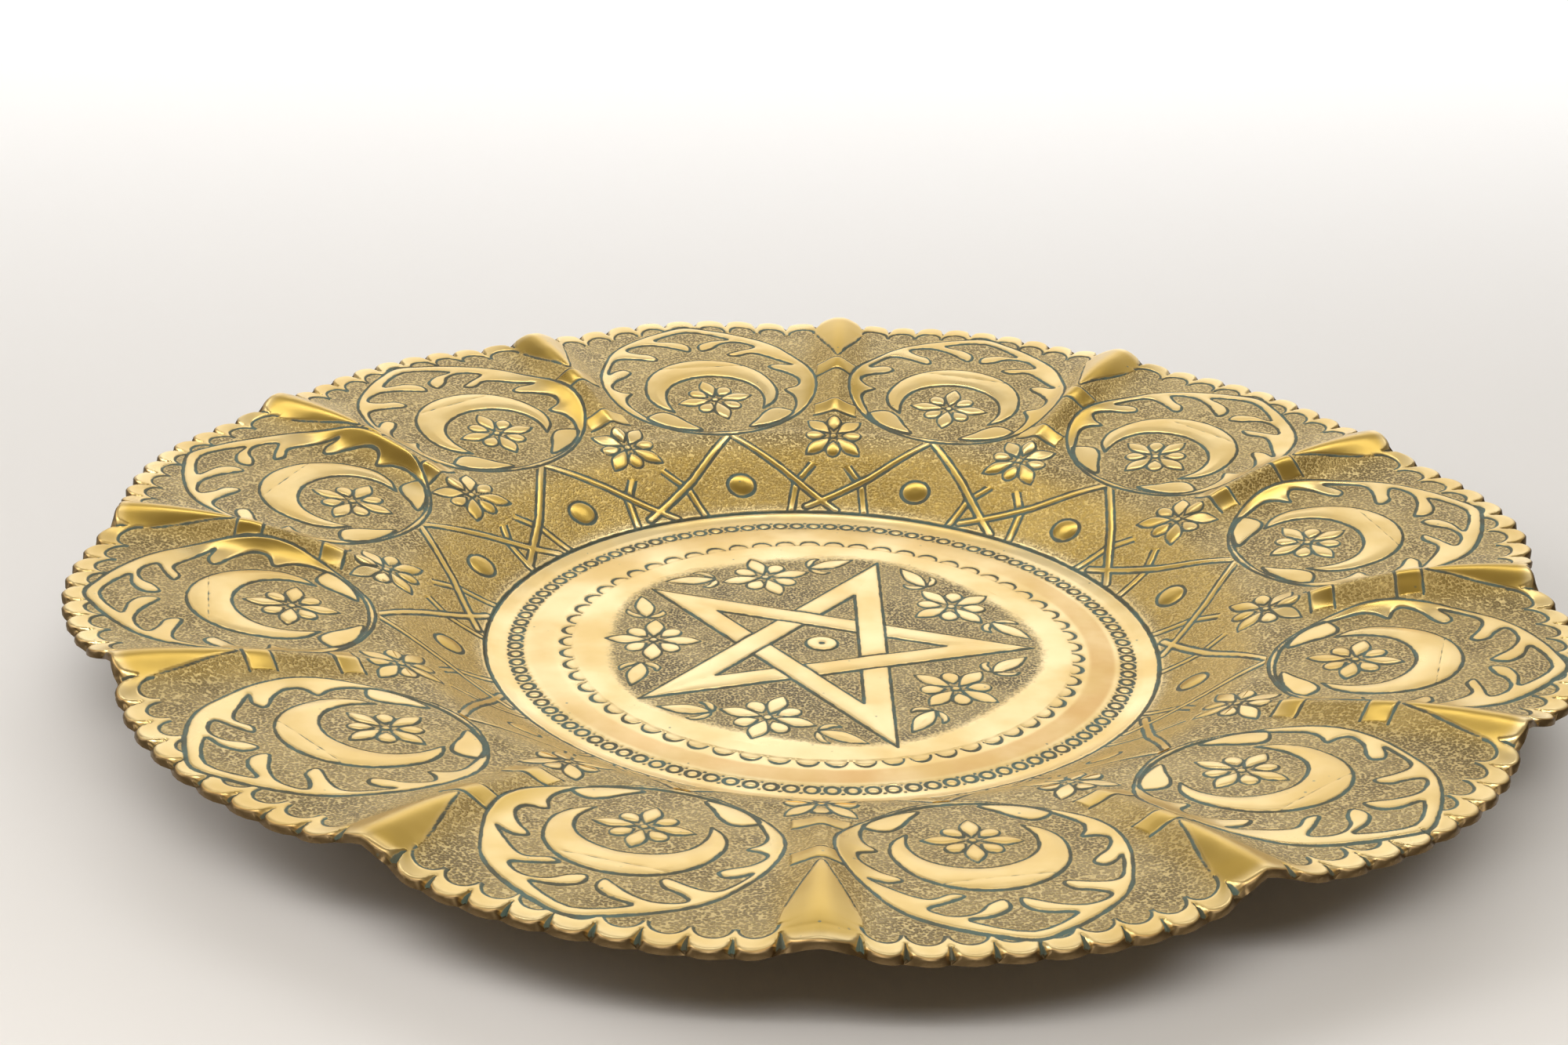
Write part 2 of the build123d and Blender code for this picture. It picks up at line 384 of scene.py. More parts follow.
def chase_ridge(work, across, along):
    """The ridge's smooth tongue, its two polished bands and the flower at its foot."""
    tongue = area_distance(across, along, flowing(mirrored(TONGUE), True))
    # its outline fades out before the edge
    fading = 0.28 - 0.9 * soft_step(along, 154, 161)
    work.cut(np.where(np.abs(across) < 9, np.abs(tongue), FAR), fading)
    polished = tongue
    for low, high in BANDS:
        band = np.minimum(along - low, high - along)
        polished = np.maximum(polished, np.minimum(band, BAND_HALF - np.abs(across)))
        work.cut(np.where(np.abs(across) < BAND_HALF + 0.5, np.abs(band), FAR), 0.36)
    foot = flower(work, across, along, (0, LIP_RADIUS), FOOT_TURN, FOOT_SIZE)
    return np.maximum(polished, foot)


def rim_distance(angle, radius):
    """How far out beyond the row of small arcs along the edge, and how far from the arcs' lines."""
    _, turned, first, second = lobe_of(angle)
    crown, _ = crown_radius(angle)
    pitch = (second - first - 2 * TONGUE_HALF_ANGLE) / SCALLOPS
    step = (turned - first - TONGUE_HALF_ANGLE) / pitch
    step = np.clip(np.floor(step), 0, SCALLOPS - 1) + 0.5
    centre_angle = first + TONGUE_HALF_ANGLE + step * pitch
    across = np.radians(turned - centre_angle) * radius
    out = radius - (crown - RIM_ARC_INSET)
    ring = np.hypot(across, out) - RIM_ARC_RADIUS
    inside = np.where(out > 0, -ring, np.maximum(-ring, -out))
    line = np.where(out > -0.3, np.abs(ring), FAR)
    return -inside, line


def chase_border(x, y, radius, angle):
    """All the work on the border."""
    work = Chasing(len(x))
    lobe, turned, first, second = lobe_of(angle)
    leaf = np.full(len(x), -FAR)
    for number in np.unique(lobe):
        mine = np.flatnonzero(lobe == number)
        turn = np.radians(turned[mine] - LOBE_AXES[number])
        local = Chasing(len(mine))
        lx, ly = radius[mine] * np.sin(turn), radius[mine] * np.cos(turn)
        leaf[mine] = chase_lobe(local, lx, ly, number)
        for name in ("line", "ground", "lift"):
            getattr(work, name)[mine] = getattr(local, name)
    ridge = np.where(turned - first < second - turned, turned - first, turned - second)
    across = radius * np.sin(np.radians(ridge))
    along = radius * np.cos(np.radians(ridge))
    outside = Chasing(len(x))
    polished = chase_ridge(outside, across, along)
    rim, arcs = rim_distance(angle, radius)
    outside.cut(arcs, 0.36)
    rim = np.where(np.abs(ridge) < TONGUE_HALF_ANGLE, radius - 161.5, rim)
    outside.ground = np.minimum(-rim, -polished)
    out = leaf < 0
    work.line = np.minimum(work.line, np.where(out, outside.line, FAR))
    work.ground = np.where(out, np.minimum(outside.ground, -leaf), work.ground)
    # file cuts slant inwards from each notch, and the edge is rounded over
    crown, notch = crown_radius(angle)
    from_edge = crown - NOTCH_DEPTH * notch ** NOTCH_POWER - radius
    from_notch = (1 - notch) * HALF_SCALLOP
    cut = np.clip(1 - from_notch / (1.3 - 0.38 * np.clip(from_edge, 0, FILED_BAND)), 0, 1)
    cut = np.where(from_edge < FILED_BAND, cut, 0)
    work.lift -= 1.1 * cut * (1 - soft_step(from_edge, 0, FILED_BAND))
    work.lift -= 0.6 * (1 - np.clip(from_edge / 1.1, 0, 1)) ** 2
    work.line = np.minimum(work.line, np.where(cut > 0, 1.0 - 1.9 * cut, FAR))
    # painted reflection and shade: the border is a darker gold, more so on the ridges' flanks, standing
    # for the dark surroundings they reflect; towards the edge it turns orange-brown and then dull brown,
    # painted shade on the edge's side face
    flank_dark_reflection = (1 - soft_step(np.abs(across), 5, 11)) * soft_step(along, 108, 118)
    work.tarnish = -0.4 - 0.45 * flank_dark_reflection * soft_step(from_edge, 1.0, 4.0)
    work.tarnish += 0.3 * (1 - soft_step(from_edge, 0, FILED_BAND))
    work.tarnish += 2.1 * (1 - soft_step(from_edge, 0.15, 0.8))
    return work


def chase_wall(x, y, radius, angle):
    """The wall's lattice of double lines, its bosses, and the flowers at the ridges' feet."""
    work = Chasing(len(x))
    bands = np.full(len(x), -FAR)
    boss = np.full(len(x), -FAR)
    lines = np.full(len(x), FAR)
    for axis in LOBE_AXES:
        turn = np.mod(angle - axis + 180, 360) - 180
        near = np.flatnonzero(np.abs(turn) < 27)
        turn = np.radians(turn[near])
        lx, ly = radius[near] * np.sin(turn), radius[near] * np.cos(turn)
        for order, path in enumerate(LATTICE):
            gap = line_distance(lx, ly, path, reach=3.0)
            strip = LATTICE_WIDTH / 2 - gap
            edge = np.abs(strip)
            hidden = bands[near] > 0.2
            lines[near] = np.minimum(lines[near], np.where(hidden, FAR, edge))
            covers = (strip > 0.2) & (order < 2)
            lines[near] = np.where(covers, np.maximum(lines[near], edge), lines[near])
            bands[near] = np.maximum(bands[near], strip)
        oval = 1 - np.hypot(lx / BOSS_HALF[0], (ly - BOSS_RADIUS) / BOSS_HALF[1])
        boss[near] = np.maximum(boss[near], oval * 3.4)
    work.cut(lines, 0.38)
    work.cut(np.where(boss > -1.5, np.abs(boss), FAR), 0.45)
    _, turned, first, second = lobe_of(angle)
    ridge = np.where(turned - first < second - turned, turned - first, turned - second)
    across = radius * np.sin(np.radians(ridge))
    along = radius * np.cos(np.radians(ridge))
    disc = FOOT_CLEARING - np.hypot(across, along - LIP_RADIUS)
    work.line = np.where(disc > 0, FAR, work.line)
    foot = flower(work, across, along, (0, LIP_RADIUS), FOOT_TURN, FOOT_SIZE)
    polished = np.maximum(np.maximum(np.where(disc > 0, -FAR, bands), boss), foot)
    work.ground = np.minimum(-polished, radius - CHASED_CIRCLE - 0.8)
    # it is matted lightly, and more towards the lip, where the border is matted fully
    to_lip = np.clip((radius - 94) / (LIP_RADIUS - 94), 0, 1)
    work.ground = np.minimum(work.ground, 0.12 + 0.43 * to_lip ** 2)
    work.lift += 0.3 * soft_step(boss, 0, 2.6) + 0.12 * soft_step(foot, 0, 1.2)
    # painted reflection: the wall is a darker gold, standing for the dark surroundings it reflects, and at
    # the lip it eases to the border's darker gold
    work.tarnish = -0.85 * soft_step(radius, CHASED_CIRCLE, CHASED_CIRCLE + 4)
    work.tarnish += 0.45 * soft_step(radius, LIP_RADIUS - 7, LIP_RADIUS)
    work.cut(np.abs(radius - CHASED_CIRCLE), 0.55)
    return work


def star_lines(x, y):
    """The woven star: how far inside its bands each point is, and how far from their lines."""
    tips = {name: np.array(tip, float) for name, tip in STAR_TIPS.items()}
    centre = sum(tips.values()) / 5
    edges = {}
    for band in STAR_BANDS:
        start, end = tips[band[0]], tips[band[1]]
        along = (end - start) / np.linalg.norm(end - start)
        inward = np.array((-along[1], along[0]))
        inward *= np.sign(inward @ (centre - start))
        edges[band] = (start, along, inward)

    def inner_corner(first, second):
        (p, a, n), (q, b, m) = edges[first], edges[second]
        base, other = p + n * BAND_WIDTH, q + m * BAND_WIDTH
        along = np.linalg.solve(np.array([a, -b]).T, other - base)[0]
        return base + a * along

    partner = {}
    for band in STAR_BANDS:
        for tip in band:
            partner[band, tip] = next(b for b in STAR_BANDS if tip in b and b != band)
    strips, lines = {}, {}
    for band in STAR_BANDS:
        start, end = tips[band[0]], tips[band[1]]
        near_start = inner_corner(band, partner[band, band[0]])
        near_end = inner_corner(band, partner[band, band[1]])
        strips[band] = area_distance(x, y, [start, end, near_end, near_start])
        outer = line_distance(x, y, [start, end], reach=4)
        inner = line_distance(x, y, [near_start, near_end], reach=4)
        lines[band] = np.minimum(outer, inner)
    for over, under in OVER_UNDER:
        lines[under] = np.where(strips[over] > 0.1, FAR, lines[under])
    return np.max(list(strips.values()), 0), np.min(list(lines.values()), 0)


def chase_medallion(x, y, radius, angle):
    """The woven star with its flowers and sprigs, and the rings of punched work around it."""
    work = Chasing(len(x))
    star, lines = star_lines(x, y)
    work.cut(lines, SHAPE_LINE)
    polished = star
    middle = np.hypot(x, y - 0.7)
    polished = np.maximum(polished, 3.6 - middle)
    work.cut(np.abs(middle - 3.8), 0.4)
    work.cut(middle, 0.8)
    for centre in FLOWERS:
        heading = degrees(atan2(centre[1], centre[0]))
        bloom = flower(work, x, y, centre, heading, 1.06)
        polished = np.maximum(polished, bloom)
        for side in (-1, 1):
            polished = np.maximum(polished, sprig(work, x, y, centre, heading, side, star))
    fading = (51.0 + 1.2 * np.sin(np.radians(angle * 5)) - radius) * 0.11
    work.ground = np.minimum(-polished, fading)
    work.lift += 0.08 * soft_step(star, 0, 2.5)
    # sixty thick arcs, then a tarnished band, then ring punches between two lines
    pitch = 360 / ARC_COUNT
    across = np.radians(np.mod(angle, pitch) - pitch / 2) * radius
    arc = np.abs(np.hypot(across, radius - ARC_CIRCLE) - ARC_RADIUS)
    fade = 0.12 + 0.4 * np.clip(1 - (across / 2.9) ** 2, 0, 1)
    work.cut(np.where(radius > 58.4, arc, FAR), fade)
    pitch = 360 / RING_COUNT
    across = np.radians(np.mod(angle, pitch) - pitch / 2) * radius
    ring = np.hypot(across, radius - RING_RADIUS)
    work.cut(np.abs(ring - RING_PUNCH), 0.46)
    between = np.hypot(np.abs(across) - 2.15, np.abs(radius - RING_RADIUS) - 1.6)
    work.cut(between, SHAPE_LINE)
    work.lift += 0.12 * soft_step(ring, 1.0, 0.2)
    work.cut(np.abs(radius - CHASED_CIRCLE), 0.55)
    band = soft_step(radius, 61.8, 63.4) * (1 - soft_step(radius, 67.8, 69.2))
    work.tarnish = band * (0.25 + 0.55 * soft_step(np.cos(np.radians(angle - 140)), -0.6, 0.8))
    return work


def sprig(work, x, y, centre, heading, side, star):
    """A leaf with two small curled side leaves, beside a medallion flower."""
    angle = radians(heading + 90 * side)
    px = (x - centre[0]) * cos(angle) + (y - centre[1]) * sin(angle)
    py = (-(x - centre[0]) * sin(angle) + (y - centre[1]) * cos(angle)) * side
    py = py + 1.6 + 0.004 * px ** 2
    leaf = flowing(((12.3, 0), (15, 1.6), (18.3, 2.3), (21.5, 1.5), (24.6, 0)))
    curl = ((12.2, 0.6), (12.6, 3.0), (14.6, 4.7), (16.6, 4.2), (15.0, 3.2), (13.8, 1.6))
    best = area_distance(px, py, np.concatenate([leaf, leaf[-2:0:-1] * (1, -1)]), 2.0)
    line = np.abs(best)
    for flip in (1, -1):
        small = area_distance(px, py * flip, flowing(curl, True), 2.0)
        best = np.maximum(best, small)
        line = np.minimum(line, np.abs(small))
    work.cut(np.where((line < 2) & (star < -0.8), line, FAR), PETAL_LINE)
    return np.minimum(best, -star - 0.8)


# ---------------------------------------------------------------- making a patch of the sheet
def flat_grid(columns, rows, plan, level):
    """A grid laid out flat by a plan of shares to millimetres, at a level that marks its side."""
    bpy.ops.mesh.primitive_grid_add(x_subdivisions=columns, y_subdivisions=rows, size=2)
    grid = bpy.context.object
    count = len(grid.data.vertices)
    places = np.empty(count * 3)
    grid.data.vertices.foreach_get("co", places)
    places = places.reshape(-1, 3)
    x, y = plan((places[:, 0] + 1) / 2, (places[:, 1] + 1) / 2)
    grid.data.vertices.foreach_set("co", (np.c_[x, y, np.full(count, level)] * MM).ravel())
    grid.data.update()
    return grid


def make_patch(name, plan, under_plan, columns, rows, chase, closes=False):
    """One patch of the sheet: a fine upper face, a plain underside, and walls that join them.

    A patch that closes is a ring, whose two ends meet and are merged.
    """
    shape = bpy.context.scene.tray_shape
    bpy.ops.object.select_all(action="DESELECT")
    step = shape.underside_step
    under = flat_grid(max(columns // step, 8), max(rows // step, 4), under_plan, -1.0)
    upper = flat_grid(columns, rows, plan, 0.0)
    for grid, flip in ((under, True), (upper, False)):
        bpy.ops.object.select_all(action="DESELECT")
        grid.select_set(True)
        bpy.context.view_layer.objects.active = grid
        bpy.ops.object.mode_set(mode="EDIT")
        bpy.ops.mesh.select_all(action="SELECT")
        if closes:
            bpy.ops.mesh.remove_doubles(threshold=1e-6)
        bpy.ops.mesh.normals_make_consistent(inside=False)
        bpy.ops.object.mode_set(mode="OBJECT")
        upwards = grid.data.polygons[0].normal.z > 0
        if upwards == flip:
            grid.data.flip_normals()
    under.select_set(True)
    bpy.ops.object.join()
    patch = bpy.context.object
    patch.name = name
    patch.data.name = name
    bridge_rims(patch, closes)
    raise_relief(patch, chase)
    bpy.ops.object.select_all(action="DESELECT")
    patch.select_set(True)
    bpy.context.view_layer.objects.active = patch
    bpy.ops.object.shade_smooth_by_angle(angle=radians(50))
    patch.data.materials.append(brass())
    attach(patch, "root")
    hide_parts("tray_sheet")
    return patch


def edge_ends(mesh):
    """The two vertices of each of a mesh's edges."""
    ends = np.empty(len(mesh.edges) * 2, int)
    mesh.edges.foreach_get("vertices", ends)
    return ends.reshape(-1, 2)


def bridge_rims(patch, closes):
    """Joins the upper face's open edges to the underside's: a ring's inner ones, then its outer."""
    mesh = patch.data
    bpy.ops.object.mode_set(mode="EDIT")
    bpy.context.tool_settings.mesh_select_mode = (False, True, False)
    bpy.ops.mesh.select_all(action="DESELECT")
    bpy.ops.mesh.select_non_manifold(extend=False, use_wire=False, use_multi_face=False,
                                     use_non_contiguous=False, use_verts=False)
    if not closes:
        bpy.ops.mesh.bridge_edge_loops()
        bpy.ops.object.mode_set(mode="OBJECT")
        return
    bpy.ops.object.mode_set(mode="OBJECT")
    is_open = np.zeros(len(mesh.edges), bool)
    mesh.edges.foreach_get("select", is_open)
    places = np.empty(len(mesh.vertices) * 3)
    mesh.vertices.foreach_get("co", places)
    open_edges = edge_ends(mesh)[is_open]
    reach = np.hypot(*places.reshape(-1, 3)[open_edges[:, 0], :2].T)
    is_outer = reach > (reach.min() + reach.max()) / 2
    for rim in (open_edges[~is_outer], open_edges[is_outer]):
        wanted = {tuple(sorted(pair)) for pair in rim.tolist()}
        chosen = [tuple(sorted(pair)) in wanted for pair in edge_ends(mesh).tolist()]
        mesh.vertices.foreach_set("select", np.zeros(len(mesh.vertices), bool))
        mesh.polygons.foreach_set("select", np.zeros(len(mesh.polygons), bool))
        mesh.edges.foreach_set("select", chosen)
        bpy.ops.object.mode_set(mode="EDIT")
        bpy.ops.mesh.bridge_edge_loops()
        bpy.ops.object.mode_set(mode="OBJECT")


def raise_relief(patch, chase):
    """Raises the flat patch to the tray's form and sinks the chased work into its upper face."""
    shape = bpy.context.scene.tray_shape
    mesh = patch.data
    count = len(mesh.vertices)
    places = np.empty(count * 3)
    mesh.vertices.foreach_get("co", places)
    x, y, level = places.reshape(-1, 3).T / MM
    radius = np.hypot(x, y)
    angle = np.degrees(np.arctan2(x, y))
    height = sheet_height(radius, angle)
    top = np.flatnonzero(level > -0.5)
    work = chase(x[top], y[top], radius[top], angle[top])
    dice = np.random.default_rng(len(patch.name) * 1000 + sum(map(ord, patch.name)))
    matted = soft_step(work.ground, -0.15, 0.55)
    groove = soft_step(-work.line, -0.12, 0.5)
    relief = work.lift - shape.line_depth / MM * groove - shape.ground_depth / MM * matted
    # metal swells between lines, and everything is kept at or below the sheet's own face
    relief += shape.swell / MM * ((1 - np.exp(-np.maximum(work.line, 0) / 1.8)) * (1 - matted) - 1)
    relief += matted * (1 - groove) * dice.uniform(-1, 1, len(top)) * shape.matting / MM
    height[top] += shape.sheet / MM + relief
    mesh.vertices.foreach_set("co", (np.c_[x, y, height] * MM).ravel())
    for name, values, rest in (("chased", work.line, 3.0), ("matted", work.ground, -3.0),
                               ("tarnish", work.tarnish, 2.0)):
        whole = np.full(count, rest, np.float32)
        whole[top] = np.clip(values, -3, 3)
        mesh.attributes.new(name, "FLOAT", "POINT").data.foreach_set("value", whole)
    mesh.update()


# ---------------------------------------------------------------- the brass
def brass():
    """The tray's one material, made once."""
    found = bpy.data.materials.get("chased_brass")
    return found or make_brass()


def make_brass():
    """Polished brass with patina in its lines and a dark, sparkling matted ground."""
    finish = bpy.context.scene.tray_finish
    material = bpy.data.materials.new("chased_brass")
    material.use_nodes = True
    nodes, links = material.node_tree.nodes, material.node_tree.links
    nodes.clear()

    def node(kind, **settings):
        made = nodes.new(kind)
        for key, value in settings.items():
            setattr(made, key, value)
        return made

    def plug(source, target, key):
        links.new(source, target.inputs[key])

    def attribute(name):
        return node("ShaderNodeAttribute", attribute_name=name).outputs["Fac"]

    def noise(scale, detail=3.0, rough=0.5, stretch=None):
        made = node("ShaderNodeTexNoise")
        made.inputs["Scale"].default_value = scale
        made.inputs["Detail"].default_value = detail
        made.inputs["Roughness"].default_value = rough
        vector = place
        if stretch:
            mapping = node("ShaderNodeMapping")
            mapping.inputs["Scale"].default_value = stretch[0]
            mapping.inputs["Rotation"].default_value = stretch[1]
            plug(place, mapping, "Vector")
            vector = mapping.outputs["Vector"]
        plug(vector, made, "Vector")
        return made.outputs["Fac"]

    def ramp(source, low, high, out_low=0.0, out_high=1.0):
        made = node("ShaderNodeMapRange", interpolation_type="SMOOTHSTEP")
        plug(source, made, "Value")
        for key, value in (("From Min", low), ("From Max", high),
                           ("To Min", out_low), ("To Max", out_high)):
            made.inputs[key].default_value = value
        return made.outputs["Result"]

    def maths(operation, first, second):
        made = node("ShaderNodeMath", operation=operation)
        for key, value in enumerate((first, second)):
            if isinstance(value, (int, float)):
                made.inputs[key].default_value = value
            else:
                links.new(value, made.inputs[key])
        return made.outputs[0]

    def mix(factor, first, second):
        made = node("ShaderNodeMix", data_type="RGBA")
        for key, value in (("Factor", factor), ("A", first), ("B", second)):
            sockets = [s for s in made.inputs if s.name == key and s.enabled]
            if isinstance(value, tuple):
                sockets[0].default_value = (*value, 1)
            else:
                links.new(value, sockets[0])
        return next(s for s in made.outputs if s.enabled)

    place = node("ShaderNodeTexCoord").outputs["Object"]
    line = attribute("chased")
    ground = attribute("matted")
    tarnish = attribute("tarnish")

    cloud = noise(45, 4)
    fine = noise(900, 3)
    polished = mix(ramp(cloud, 0.35, 0.7), finish.polished[:], finish.deep[:])
    blotches = ramp(noise(60, 4), 0.3, 0.7, 0.25, 0.8)
    polished = mix(maths("MULTIPLY", ramp(tarnish, 0, 1), blotches), polished, finish.tarnish[:])
    # values below nothing mark a darker gold: painted reflection of the dark surroundings on the wall,
    # the border and the ridges' flanks
    painted_dark_reflection = ramp(tarnish, 0, -1)
    polished = mix(painted_dark_reflection, polished, finish.dark_reflection_gold[:])
    # the dull brown of the underside, which also paints shade on the edge's side face
    polished = mix(ramp(tarnish, 0.9, 1.8), polished, finish.underside[:])
    # dark freckles on the polished metal
    freckle = node("ShaderNodeTexVoronoi")
    freckle.inputs["Scale"].default_value = 260
    plug(place, freckle, "Vector")
    spots = maths("MULTIPLY", ramp(freckle.outputs["Distance"], 0.11, 0.05), ramp(noise(70), 0.52, 0.62))
    polished = mix(maths("MULTIPLY", spots, 0.75), polished, finish.patina[:])

    # matted ground: close-set punch pits, dark between bright specks
    pits = node("ShaderNodeTexVoronoi")
    pits.inputs["Scale"].default_value = 1600
    pits.inputs["Randomness"].default_value = 0.9
    plug(place, pits, "Vector")
    pit = ramp(pits.outputs["Distance"], 0.38, 0.74)
    shade = mix(ramp(noise(75, 4), 0.38, 0.62), finish.pit[:], finish.rubbed[:])
    pitted = mix(pit, shade, finish.speck[:])
    # the matted ground takes part of the same painted reflection
    pitted = mix(maths("MULTIPLY", painted_dark_reflection, 0.45), pitted, finish.dark_reflection_gold[:])
    wavering = maths("ADD", ground, maths("MULTIPLY", maths("SUBTRACT", fine, 0.5), 0.35))
    in_ground = ramp(wavering, -0.1, 0.25)
    metal = mix(in_ground, polished, pitted)
    # patina in the chased lines
    ragged = maths("ADD", line, maths("MULTIPLY", maths("SUBTRACT", noise(420, 4), 0.5), 0.55))
    in_line = ramp(ragged, 0.12, -0.14)
    stained = mix(ramp(noise(120, 3), 0.35, 0.65), finish.patina[:], finish.old_patina[:])
    colour = mix(in_line, metal, stained)
    # painted shade: a darker brass beside each chased line, where the groove's shade falls
    line_shade = maths("MULTIPLY", ramp(ragged, 0.9, 0.0), 0.35)
    colour = mix(maths("MULTIPLY", line_shade, maths("SUBTRACT", 1.0, in_line)), colour, finish.deep[:])

    shader = node("ShaderNodeBsdfPrincipled")
    plug(colour, shader, "Base Color")
    dull = maths("MULTIPLY", in_line, 0.8)
    dirt = maths("MULTIPLY", in_ground, maths("SUBTRACT", 0.2, maths("MULTIPLY", pit, 0.2)))
    plug(maths("SUBTRACT", 1.0, maths("MAXIMUM", dull, dirt)), shader, "Metallic")
    rough = maths("ADD", ramp(cloud, 0.3, 0.7, 0.27, 0.36), maths("MULTIPLY", in_ground, 0.12))
    rough = maths("ADD", rough, maths("MULTIPLY", in_line, 0.35))
    rough = maths("ADD", rough, maths("MULTIPLY", ramp(tarnish, 0, 1), 0.12))
    plug(rough, shader, "Roughness")

    # hammered and scratched surface
    hammer = noise(110, 1)
    scratch = noise(700, 2, 0.6, ((1, 0.03, 0.3), (0, 0, 0.5)))
    other = noise(900, 2, 0.6, ((0.04, 1, 0.3), (0, 0, -0.35)))
    relief = maths("ADD", maths("MULTIPLY", hammer, 0.35), maths("MULTIPLY", scratch, 0.012))
    relief = maths("ADD", relief, maths("MULTIPLY", other, 0.010))
    relief = maths("ADD", relief, maths("MULTIPLY", maths("MULTIPLY", pit, in_ground), -0.22))
    bump = node("ShaderNodeBump")
    bump.inputs["Strength"].default_value = 0.7
    bump.inputs["Distance"].default_value = 0.0008
    plug(relief, bump, "Height")
    plug(bump.outputs["Normal"], shader, "Normal")
    output = node("ShaderNodeOutputMaterial")
    plug(shader.outputs["BSDF"], output, "Surface")
    return material


# ---------------------------------------------------------------- what a user would change
class TrayShape(bpy.types.PropertyGroup):
    """Sizes of the sheet and of the chased work."""
    sheet: FloatProperty(name="Sheet", description="Thickness of the brass", default=0.0018, unit="LENGTH")
    line_depth: FloatProperty(name="Line depth", description="Depth of a chased line",
                              default=0.00032, unit="LENGTH")
    ground_depth: FloatProperty(name="Ground depth", description="How far the matted ground is sunk",
                                default=0.00022, unit="LENGTH")
    swell: FloatProperty(name="Swell", description="How far the metal swells between lines",
                         default=0.00012, unit="LENGTH")
    matting: FloatProperty(name="Matting", description="Depth of the matting punch's pits",
                           default=0.00005, unit="LENGTH")
    step: FloatProperty(name="Step", description="Size of the finest faces", default=0.00038,
                        unit="LENGTH")
    underside_step: IntProperty(name="Underside step", description="Fine faces to one plain face below",
                                default=5)


class TrayFinish(bpy.types.PropertyGroup):
    """Colours of the brass."""
    polished: FloatVectorProperty(name="Polished", description="Bright brass", subtype="COLOR",
                                  default=(0.88, 0.70, 0.37))
    # also the painted shade beside the chased lines
    deep: FloatVectorProperty(name="Deep", description="Brass where it is a little tarnished",
                              subtype="COLOR", default=(0.78, 0.56, 0.22))
    tarnish: FloatVectorProperty(name="Tarnish", description="Orange-brown tarnish", subtype="COLOR",
                                 default=(0.70, 0.41, 0.14))
    # painted reflection: a darker gold standing for the dark surroundings reflected in the wall, the
    # border and the ridges' flanks
    dark_reflection_gold: FloatVectorProperty(name="Golden", description="Darker gold where the tray is rubbed less",
                                subtype="COLOR", default=(0.57, 0.375, 0.075))
    # also painted shade on the edge's side face
    underside: FloatVectorProperty(name="Underside", description="Dull brown brass of the underside",
                                   subtype="COLOR", default=(0.17, 0.115, 0.055))
    patina: FloatVectorProperty(name="Patina", description="Grey-green patina in the lines",
                                subtype="COLOR", default=(0.13, 0.19, 0.16))
    old_patina: FloatVectorProperty(name="Old patina", description="Browner, older patina",
                                    subtype="COLOR", default=(0.12, 0.12, 0.08))
    pit: FloatVectorProperty(name="Pit", description="Dark of the matting pits", subtype="COLOR",
                             default=(0.14, 0.11, 0.06))
    rubbed: FloatVectorProperty(name="Rubbed pit", description="Pits where the ground is rubbed brighter",
                                subtype="COLOR", default=(0.32, 0.25, 0.125))
    speck: FloatVectorProperty(name="Speck", description="Bright metal between the pits",
                               subtype="COLOR", default=(0.68, 0.54, 0.27))


class TrayStage(bpy.types.PropertyGroup):
    """Floor, backdrop, lights and camera."""
    floor_colour: FloatVectorProperty(name="Floor", description="Colour of floor and backdrop",
                                      subtype="COLOR", default=(0.88, 0.86, 0.85))
    lens: FloatProperty(name="Lens", description="Focal length in millimetres", default=59.62)
    distance: FloatProperty(name="Distance", description="From the camera to the point it looks at",
                            default=0.676814, unit="LENGTH")
    elevation: FloatProperty(name="Elevation", description="How far above the floor it looks from",
                             default=radians(22.611), subtype="ANGLE")
    roll: FloatProperty(name="Roll", description="Turn of the camera about its own view",
                        default=radians(1.922), subtype="ANGLE")
    target: FloatVectorProperty(name="Target", description="The point the camera looks at",
                                default=(-0.009856, 0.073016, 0.0018), subtype="XYZ", unit="LENGTH")


def finest(length):
    """How many fine faces fit in a length in millimetres."""
    step = bpy.context.scene.tray_shape.step / MM * 1.0
    return int(round(length / step))


def turned(radius, angle):
    """Plan places of radii and clockwise angles."""
    return radius * np.sin(np.radians(angle)), radius * np.cos(np.radians(angle))


class MakeMiddle(bpy.types.Operator):
    """Makes the medallion's middle, with its woven star and flowers"""
    bl_idname = "tray.make_middle"
    bl_label = "Medallion middle"

    def execute(self, context):
        def plan(u, v):
            x, y = 2 * u - 1, 2 * v - 1
            across = MEDALLION_EDGE * x * np.sqrt(1 - y * y / 2)
            return across, MEDALLION_EDGE * y * np.sqrt(1 - x * x / 2)
        count = finest(2 * MEDALLION_EDGE)
        make_patch("medallion_middle", plan, plan, count, count, chase_medallion)
        return {"FINISHED"}


class MakeRim(bpy.types.Operator):
    """Makes the medallion's rim, with its arcs and ring punches"""
    bl_idname = "tray.make_rim"
    bl_label = "Medallion rim"

    def execute(self, context):
        def plan(u, v):
            return turned(MEDALLION_EDGE + (CHASED_CIRCLE - MEDALLION_EDGE) * v, 360 * u)
        make_patch("medallion_rim", plan, plan, finest(tau * RIM_MIDDLE),
                   finest(CHASED_CIRCLE - MEDALLION_EDGE), chase_medallion, closes=True)
        return {"FINISHED"}


class MakeWall(bpy.types.Operator):
    """Makes the sloping wall with its lattice"""
    bl_idname = "tray.make_wall"
    bl_label = "Wall"

    def execute(self, context):
        def plan(u, v):
            return turned(CHASED_CIRCLE + (LIP_RADIUS - CHASED_CIRCLE) * v, 360 * u)
        make_patch("wall", plan, plan, finest(tau * WALL_MIDDLE), finest(LIP_RADIUS - CHASED_CIRCLE),
                   chase_wall, closes=True)
        return {"FINISHED"}


